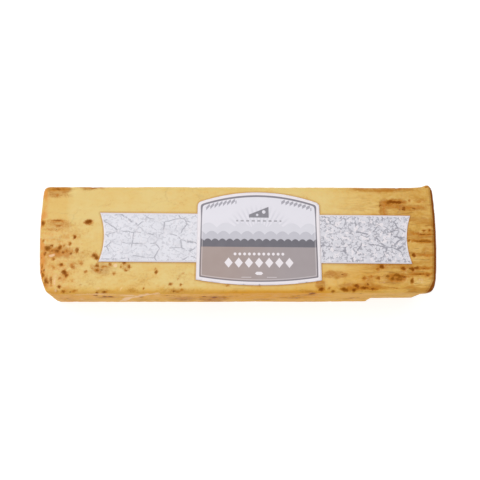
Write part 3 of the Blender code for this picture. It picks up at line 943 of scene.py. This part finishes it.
def cheesePiece(papers):
    source = bmesh.new()
    source.from_mesh(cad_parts["cheese_block"].data)
    bmesh.ops.remove_doubles(source, verts=source.verts, dist=0.01 * millimetre)
    mesh = bpy.data.meshes.new("cheese")
    source.to_mesh(mesh)
    source.free()
    piece = newObject("cheese", mesh)
    remesh = piece.modifiers.new("even mesh", "REMESH")
    remesh.mode = "VOXEL"
    remesh.voxel_size = cheese["voxel"] * millimetre
    remesh.use_smooth_shade = True
    smooth = piece.modifiers.new("soften", "SMOOTH")
    smooth.factor = 0.5
    smooth.iterations = cheese["smoothing"]
    values = {name: cheese[key] for name, key in skinInputs.items()}
    nodeModifier(piece, cheeseSkin(cheeseMaterial(), papers), {**values, **papers})
    plainMesh(piece)
    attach(piece, "root")
    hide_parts("cheese_block")


# Label paper

label = {
    "turn": -0.5,  # degrees
    "cell": 1.6,
    "thickness": 0.14,
    "lift": 0.10,
    "waveHeight": 0.05,
    "waveSize": 18.0,
    "dropFrom": 0.2,  # metres over the floor, from where a sheet is laid
}

ribbon = {
    "length": 222.7,
    "width": 35.2,
    "notch": 3.2,
    "shift": -1.5,
    "border": 0.9,
    "notchSteps": 24,
}

crest = {
    "topWidth": 87.4,
    "footWidth": 89.2,
    "height": 67.4,
    "arch": 7.8,
    "sag": 3.8,
    "shoulder": 2.8,
    "ridgeGap": 0.4,
    "ridgeRun": 2.2,
    "stepOver": 0.24,
    "archSteps": 48,
    "sagSteps": 40,
    "shoulderSteps": 6,
}

crestLow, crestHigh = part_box("crest_label")
labelMiddle = (crestLow + crestHigh) / 2


def arc(start, end, rise, steps):
    start, end = Vector(start), Vector(end)
    chord = end - start
    left = Vector((-chord.y, chord.x)).normalized()
    points = []
    for i in range(steps):
        share = i / steps
        points.append(start + chord * share + left * rise * 4 * share * (1 - share))
    return points


def ribbonOutline():
    left = ribbon["shift"] - ribbon["length"] / 2
    right = ribbon["shift"] + ribbon["length"] / 2
    half = ribbon["width"] / 2
    points = [Vector((left, -half))]
    points += arc((right, -half), (right, half), ribbon["notch"], ribbon["notchSteps"])
    points += [Vector((right, half))]
    points += arc((left, half), (left, -half), ribbon["notch"], ribbon["notchSteps"])
    return points


def roundedCorner(before, corner, after):
    start = corner + (before - corner).normalized() * crest["shoulder"]
    end = corner + (after - corner).normalized() * crest["shoulder"]
    points = []
    for i in range(crest["shoulderSteps"] + 1):
        share = i / crest["shoulderSteps"]
        points.append(start.lerp(corner, share).lerp(corner.lerp(end, share), share))
    return points


def crestOutline():
    foot, shoulder = crest["footWidth"] / 2, crest["topWidth"] / 2
    low = -crest["height"] / 2 + crest["sag"]
    high = crest["height"] / 2 - crest["arch"]
    rightShoulder, leftShoulder = Vector((shoulder, high)), Vector((-shoulder, high))
    rightFoot, leftFoot = Vector((foot, low)), Vector((-foot, low))
    arch = arc(rightShoulder, leftShoulder, -crest["arch"], crest["archSteps"])
    top = arch[3:-2]  # the rounded shoulders take the place of its ends
    points = arc(leftFoot, rightFoot, -crest["sag"], crest["sagSteps"])
    points += [rightFoot]
    points += roundedCorner(rightFoot, rightShoulder, top[0])
    points += top
    points += roundedCorner(top[-1], leftShoulder, leftFoot)
    return points


def flatSheet(name, outline):
    # a flat sheet cut along the outline, in small cells; each point keeps its place in the drawing
    sheet = bmesh.new()
    sheet.faces.new([sheet.verts.new((point.x, point.y, 0.0)) for point in outline])
    bmesh.ops.remove_doubles(sheet, verts=sheet.verts, dist=0.001)
    for axis in (0, 1):
        values = [point[axis] for point in outline]
        low, high = min(values), max(values)
        count = math.ceil((high - low) / label["cell"])
        normal = Vector((1.0 - axis, float(axis), 0.0))
        for i in range(1, count):
            everything = sheet.verts[:] + sheet.edges[:] + sheet.faces[:]
            cut = normal * (low + (high - low) * i / count)
            bmesh.ops.bisect_plane(sheet, geom=everything, plane_co=cut, plane_no=normal)
    bmesh.ops.triangulate(sheet, faces=[face for face in sheet.faces if len(face.verts) > 4])
    layer = sheet.verts.layers.float_vector.new("printPlace")
    turn = Matrix.Rotation(math.radians(label["turn"]), 3, "Z")
    for vert in sheet.verts:
        vert[layer] = vert.co
        vert.co = turn @ vert.co * millimetre + Vector((labelMiddle.x, labelMiddle.y, 0.0))
    mesh = bpy.data.meshes.new(name)
    sheet.to_mesh(mesh)
    sheet.free()
    mesh.shade_smooth()
    return newObject(name, mesh)


def layOnCheese(name, material):
    # lays a flat sheet on the block's top, with a step over the ribbon where there is one
    lengths = ("Lift", "Step over", "Step edge", "Step run", "Wave height", "Wave size")
    inputs = {"Block": "NodeSocketObject"}
    inputs.update({length: "NodeSocketFloat" for length in lengths})
    root, wires = newTree(name, inputs)
    settings = {"transform_space": "RELATIVE"}
    block = root.node("GeometryNodeObjectInfo", settings, {"Object": wires["Block"]}, "Geometry")
    above = root.vector("ADD", root.node("GeometryNodeInputPosition"), (0.0, 0.0, label["dropFrom"]))
    sockets = {
        "Target Geometry": block,
        "Source Position": above,
        "Ray Direction": (0.0, 0.0, -1.0),
        "Ray Length": label["dropFrom"] * 2,
    }
    landed = root.node("GeometryNodeRaycast", {}, sockets, "Hit Position")
    kind = {"data_type": "FLOAT_VECTOR"}
    drawing = root.node("GeometryNodeInputNamedAttribute", kind, {"Name": "printPlace"})
    up = drawing.split()[1]
    over = (abs(up) - wires["Step edge"]) / wires["Step run"]
    ridge = 1.0 - over.fade(0.0, 1.0)
    wave = root.node("ShaderNodeTexNoise", {}, {"Vector": drawing, "Scale": 1.0 / wires["Wave size"]})
    rise = wires["Lift"] + ridge * wires["Step over"] + wave * wires["Wave height"]
    raised = root.node("ShaderNodeCombineXYZ", {}, {"Z": rise * millimetre})
    sockets = {"Geometry": wires["Geometry"], "Position": root.vector("ADD", landed, raised)}
    moved = root.node("GeometryNodeSetPosition", {}, sockets)
    endTree(root, moved, material)
    return root.tree


def layPaper(piece, material, stepOver, node):
    values = {
        "Block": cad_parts["cheese_block"],
        "Lift": label["lift"],
        "Step over": stepOver,
        "Step edge": ribbon["width"] / 2 + crest["ridgeGap"],
        "Step run": crest["ridgeRun"],
        "Wave height": label["waveHeight"],
        "Wave size": label["waveSize"],
    }
    nodeModifier(piece, layOnCheese(piece.name + "Laid", material), values)
    paper = piece.modifiers.new("paper", "SOLIDIFY")
    paper.thickness = label["thickness"] * millimetre
    paper.offset = 1.0
    plainMesh(piece)
    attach(piece, "root")
    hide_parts(node)


paperColours = {
    "white": (237, 230, 234),
    "ribbonLeft": (226, 225, 232),
    "ribbonRight": (221, 219, 226),
    "ribbonLine": (112, 110, 124),
    "field": (228, 225, 233),
    "ray": (210, 208, 217),
    "paleBand": (218, 216, 224),
    "middleBand": (196, 194, 203),
    "leaf": (138, 134, 146),
    "slate": (104, 101, 110),
    "frameLine": (98, 92, 104),
    "taupeLeft": (167, 148, 142),
    "taupeRight": (163, 152, 154),
}

# How strong each layer of the ribbon's print, painted shade and painted highlights is at the left and at
# the right
ribbonInk = {
    "veins": (0.56, 0.74),
    "web": (0.32, 0.58),
    "crumbs": (0.22, 0.56),
    # soft clouds of painted shade
    "clouds": (0.16, 0.16),
    # painted white highlights
    "paintedSparkles": (0.3, 0.9),
}

# The crest's print: V is the height over the label's middle and U the distance to its right
crestPrint = {
    "bands": [  # top, width of a scallop and colour
        (7.5, 6.0, "paleBand"),
        (2.6, 4.2, "middleBand"),
        (-2.0, 2.6, "slate"),
    ],
    "lowerField": (-6.2, -6.5),
    "rayCentre": -4.0,
    "rays": 24,
    "rayFade": (900.0, 500.0),  # squared distances
    "leavesUnder": 5.6,
    "leavesMiddle": 27.0,
    "leavesHalf": 11.0,
    "lozengeRow": -17.6,
    "lozengeStep": 3.6,
    "lozengesTo": 25.2,
    "dotRow": -11.4,
    "dotStep": 1.7,
    "dotsTo": 18.7,
    "pillRow": -25.2,
    "ruleRow": -28.0,
    "wedgeFoot": 15.0,
    "wedgeTop": 17.2,
    "wedgeSlope": 0.42,
    "wedgeHalf": 7.05,
    "holes": [(3.6, 19.2, 1.3), (-1.2, 17.0, 0.9)],  # U, V and radius
    "dashRow": 12.6,
    "dashesTo": 16.2,
    "border": 2.8,
    "innerLine": 3.9,
}


def stripe(value, middle, half, soft=0.14):
    # 1 where the value is within half of the middle
    return abs(value - middle).fade(half + soft, half - soft)


def within(value, half, soft):
    # 1 nearer to 0 than half, on both sides
    return abs(value).fade(half + soft, half - soft)


def offSquared(u, v, centreU=0.0, centreV=0.0):
    # the squared distance from a centre
    return (u - centreU) * (u - centreU) + (v - centreV) * (v - centreV)


def finishPaper(root, drawing, colour):
    fibre = noise(drawing, (0.9, 0.35, 0.5), 4.0, detail=3.0) * 0.5 + noise(drawing, 4.0, 2.0) * 0.8
    bumps = {"Strength": 0.25, "Distance": 0.1 * millimetre, "Height": fibre}
    sockets = {
        "Base Color": colour,
        "Roughness": noise(drawing, 6.0, 7.0).fade(0.3, 0.7, 0.46, 0.58),
        "Normal": root.node("ShaderNodeBump", {}, bumps),
        "Coat Weight": 0.08,
        "Coat Roughness": 0.3,
    }
    finishMaterial(root, sockets)


def paperMaterial(name):
    # a new material, where its paper is drawn and the paper's colours
    material, root = newMaterial(name)
    drawing = root.node("ShaderNodeAttribute", {"attribute_name": "printPlace"}, take="Vector")
    return material, root, drawing, {key: paint(*value) for key, value in paperColours.items()}


def ribbonMaterial():
    material, root, drawing, colour = paperMaterial("ribbonPaper")
    across, up = drawing.split()[:2]
    half = ribbon["width"] / 2
    notched = 1.0 - (up / half) * (up / half)
    fromEnd = ribbon["length"] / 2 - ribbon["notch"] * notched - abs(across - ribbon["shift"])
    inside = fromEnd.least(half - abs(up))
    toRight = across.fade(-20.0, 40.0)

    # fine broken lines and crumbs in grey, soft clouds of painted shade as on crumpled paper, and painted
    # white highlights between them
    bent = drifted(drawing, 3.0, 1.4, 3.0)
    veins = cracks(bent, (17.0, 11.0, 11.0), 1.0, 0.042, 0.010) * noise(drawing, 5.0, 6.4).fade(0.40, 0.52)
    web = cracks(bent, (5.6, 4.0, 4.0), 7.0, 0.07, 0.02) * noise(drawing, 2.4, 8.1).fade(0.46, 0.56)
    crumbs = noise(drawing, 2.0, 2.0, detail=2.0, rough=0.6).fade(0.54, 0.62)
    clouds = noise(drawing, (9.0, 6.0, 6.0), 11.0, detail=3.0).fade(0.46, 0.74)
    paintedSparkles = noise(drawing, 2.6, 15.0, detail=2.0, rough=0.6).fade(0.56, 0.63)
    strength = {name: toRight.fade(0.0, 1.0, *ends) for name, ends in ribbonInk.items()}
    ink = (veins * strength["veins"]).most(web * strength["web"])
    ink = ink.most(crumbs * strength["crumbs"]).most(clouds * strength["clouds"])
    printed = ink.blend(toRight.blend(colour["ribbonLeft"], colour["ribbonRight"]), colour["ribbonLine"])
    printed = (paintedSparkles * strength["paintedSparkles"]).blend(printed, colour["white"])
    edge = inside.fade(ribbon["border"] + 0.15, ribbon["border"] - 0.15)
    finishPaper(root, drawing, edge.blend(printed, colour["white"]))
    return material


def crestEdges(u, v):
    # how far in from the crest's arched top, and from its whole rounded outline
    shoulder, foot = crest["topWidth"] / 2, crest["footWidth"] / 2
    high = crest["height"] / 2 - crest["arch"]
    low = crest["sag"] - crest["height"] / 2
    fromSide = v.fade(low, high, foot, shoulder) - abs(u)
    fromTop = high + crest["arch"] * (1.0 - (u / shoulder) * (u / shoulder)) - v
    fromFoot = v - low + crest["sag"] * (1.0 - (u / foot) * (u / foot))
    upperInside = fromSide.math("SMOOTH_MIN", fromSide, fromTop, 3.0)
    return fromTop, upperInside.math("SMOOTH_MIN", upperInside, fromFoot, 1.0)


def crestFields(u, v, colour):
    # a fan of rays on the upper field, scalloped bands that darken downwards, and a taupe lower field
    upFromRays = v - crestPrint["rayCentre"]
    angle = u.math("ARCTAN2", upFromRays, u) * (crestPrint["rays"] / math.pi)
    rays = stripe(angle.math("PINGPONG", angle, 1.0), 0.5, 0.22, 0.1)
    fan = rays * offSquared(u, upFromRays).fade(*crestPrint["rayFade"])
    printed = (fan * 0.6).blend(colour["field"], colour["ray"])
    for top, width, name in crestPrint["bands"]:
        scallop = u.math("PINGPONG", u, width) / width
        crown = top + width * 0.6 * (1.0 - scallop * scallop)
        printed = (v - crown).fade(0.2, -0.2).blend(printed, colour[name])
    taupe = u.fade(-30.0, 30.0).blend(colour["taupeLeft"], colour["taupeRight"])
    return v.fade(*crestPrint["lowerField"]).blend(printed, taupe)


def crestLeaves(u, fromTop):
    # leaves hanging under the arch, at both shoulders
    across = u.math("PINGPONG", u + fromTop * 0.6, 1.5) / 1.5
    leaf = (across + abs(fromTop - crestPrint["leavesUnder"]) / 2.4).fade(1.1, 0.7)
    return leaf * stripe(abs(u), crestPrint["leavesMiddle"], crestPrint["leavesHalf"], 0.3)


def whiteShapes(u, v):
    # a row of lozenges under a row of dots, and a small pill between two rules below them
    cell = u.math("PINGPONG", u, crestPrint["lozengeStep"])
    lozenge = (cell / 3.0 + abs(v - crestPrint["lozengeRow"]) / 3.7).fade(1.05, 0.9)
    lozenge = lozenge * within(u, crestPrint["lozengesTo"], 0.1)
    cell = u.math("PINGPONG", u, crestPrint["dotStep"])
    upperDots = offSquared(cell, v, 0.0, crestPrint["dotRow"]).fade(1.3, 0.8)
    upperDots = upperDots * within(u, crestPrint["dotsTo"], 0.1)
    pill = (abs(u).most(1.6) - 1.6 + abs(v - crestPrint["pillRow"]) * 1.2).fade(1.5, 1.2)
    rule = stripe(v, crestPrint["ruleRow"], 0.18) * stripe(abs(u), 9.0, 3.5)
    return lozenge.most(upperDots).most(pill).most(rule * 0.7)


def cheeseWedge(u, v):
    # a wedge of cheese with two holes
    slope = crestPrint["wedgeTop"] + (u + 7.0) * crestPrint["wedgeSlope"]
    upright = (v - crestPrint["wedgeFoot"]).fade(-0.2, 0.2) * (v - slope).fade(0.2, -0.2)
    wedge = within(u, crestPrint["wedgeHalf"], 0.15) * upright
    for holeU, holeV, radius in crestPrint["holes"]:
        edge = radius * radius
        wedge = wedge * offSquared(u, v, holeU, holeV).fade(edge * 0.8, edge * 1.2)
    return wedge


def crestMaterial():
    material, root, drawing, colour = paperMaterial("crestPaper")
    u, v = drawing.split()[:2]
    fromTop, inside = crestEdges(u, v)
    dashes = stripe(u.math("PINGPONG", u, 2.0), 0.0, 1.1, 0.15) * stripe(v, crestPrint["dashRow"], 0.55)
    dashes = dashes * within(u, crestPrint["dashesTo"], 0.2)

    printed = crestFields(u, v, colour)
    printed = (crestLeaves(u, fromTop) * 0.75).blend(printed, colour["leaf"])
    printed = whiteShapes(u, v).blend(printed, colour["white"])
    printed = (cheeseWedge(u, v) * 0.85).blend(printed, colour["slate"])
    printed = (dashes * 0.6).blend(printed, colour["slate"])

    # a white border with a grey frame line, heavier at the top, and a fine white line inside it
    printed = inside.fade(crestPrint["border"], crestPrint["border"] - 0.2).blend(printed, colour["white"])
    lineHalf = v.fade(14.0, 24.0, 0.38, 0.7)
    line = (abs(inside - crestPrint["border"]) - lineHalf).fade(0.14, -0.14)
    printed = (line * 0.85).blend(printed, colour["frameLine"])
    printed = (stripe(inside, crestPrint["innerLine"], 0.2) * 0.5).blend(printed, colour["white"])
    # greyer in patches close to the edge
    patchy = noise(drawing, 1.2, 12.0, detail=3.0).fade(0.60, 0.72) * inside.fade(1.9, 0.2)
    printed = (patchy * 0.4).blend(printed, colour["paleBand"])
    finishPaper(root, drawing, printed)
    return material


ribbonSheet = flatSheet("ribbon", ribbonOutline())
layPaper(ribbonSheet, ribbonMaterial(), 0.0, "ribbon_label")
crestSheet = flatSheet("crest", crestOutline())
layPaper(crestSheet, crestMaterial(), crest["stepOver"], "crest_label")
say("labels done")
cheesePiece({"Ribbon": ribbonSheet, "Crest": crestSheet})
say("cheese done")

# Floor, lights and camera

studio = {
    "floorSize": 14.0,  # metres
    "floorShade": 0.4,
    "floorGlow": 0.75,
    "softboxSize": 1.4,  # metres
    "softboxPlace": (-0.35, 0.25, 1.4),  # metres
    "softboxPower": 13.0,  # watts
    "worldStrength": 0.50,
}

camera = {
    "place": (-26.9, -103.64, 588.0),
    "aim": (-0.6, -1.69, 58.0),
    "lens": 56.95,
}


def makeFloor():
    mesh = bpy.data.meshes.new("floor")
    floor = bmesh.new()
    bmesh.ops.create_grid(floor, x_segments=1, y_segments=1, size=studio["floorSize"] / 2)
    floor.to_mesh(mesh)
    floor.free()
    material, root = newMaterial("palePaper")
    shade = studio["floorShade"]
    sockets = {
        "Base Color": (shade, shade, shade, 1.0),
        "Roughness": 0.9,
        "Emission Color": (1.0, 1.0, 1.0, 1.0),
        "Emission Strength": studio["floorGlow"],
    }
    finishMaterial(root, sockets)
    mesh.materials.append(material)
    item = newObject("floor", mesh)


def makeLights():
    world = bpy.data.worlds.new("studio")
    world.use_nodes = True
    background = world.node_tree.nodes["Background"]
    background.inputs["Color"].default_value = (1.0, 1.0, 1.0, 1.0)
    background.inputs["Strength"].default_value = studio["worldStrength"]
    bpy.context.scene.world = world
    softbox = bpy.data.lights.new("softbox", "AREA")
    softbox.shape = "SQUARE"
    softbox.size = studio["softboxSize"]
    softbox.energy = studio["softboxPower"]
    item = bpy.data.objects.new("softbox", softbox)
    item.location = studio["softboxPlace"]
    item.rotation_mode = "QUATERNION"
    item.rotation_quaternion = item.location.to_track_quat("Z", "Y")
    bpy.context.scene.collection.objects.link(item)


def makeCamera():
    data = bpy.data.cameras.new("camera")
    data.lens = camera["lens"]
    item = bpy.data.objects.new("camera", data)
    place = Vector(camera["place"]) * millimetre
    ahead = (Vector(camera["aim"]) * millimetre - place).normalized()
    right = Vector((1.0, 0.0, 0.0))
    right = (right - ahead * right.dot(ahead)).normalized()
    up = right.cross(ahead)
    turned = Matrix((right, up, -ahead)).transposed().to_4x4()
    item.matrix_world = Matrix.Translation(place) @ turned
    bpy.context.scene.collection.objects.link(item)
    bpy.context.scene.camera = item


makeFloor()
makeLights()
makeCamera()
bpy.context.scene.view_settings.view_transform = "Standard"
say("stage done")
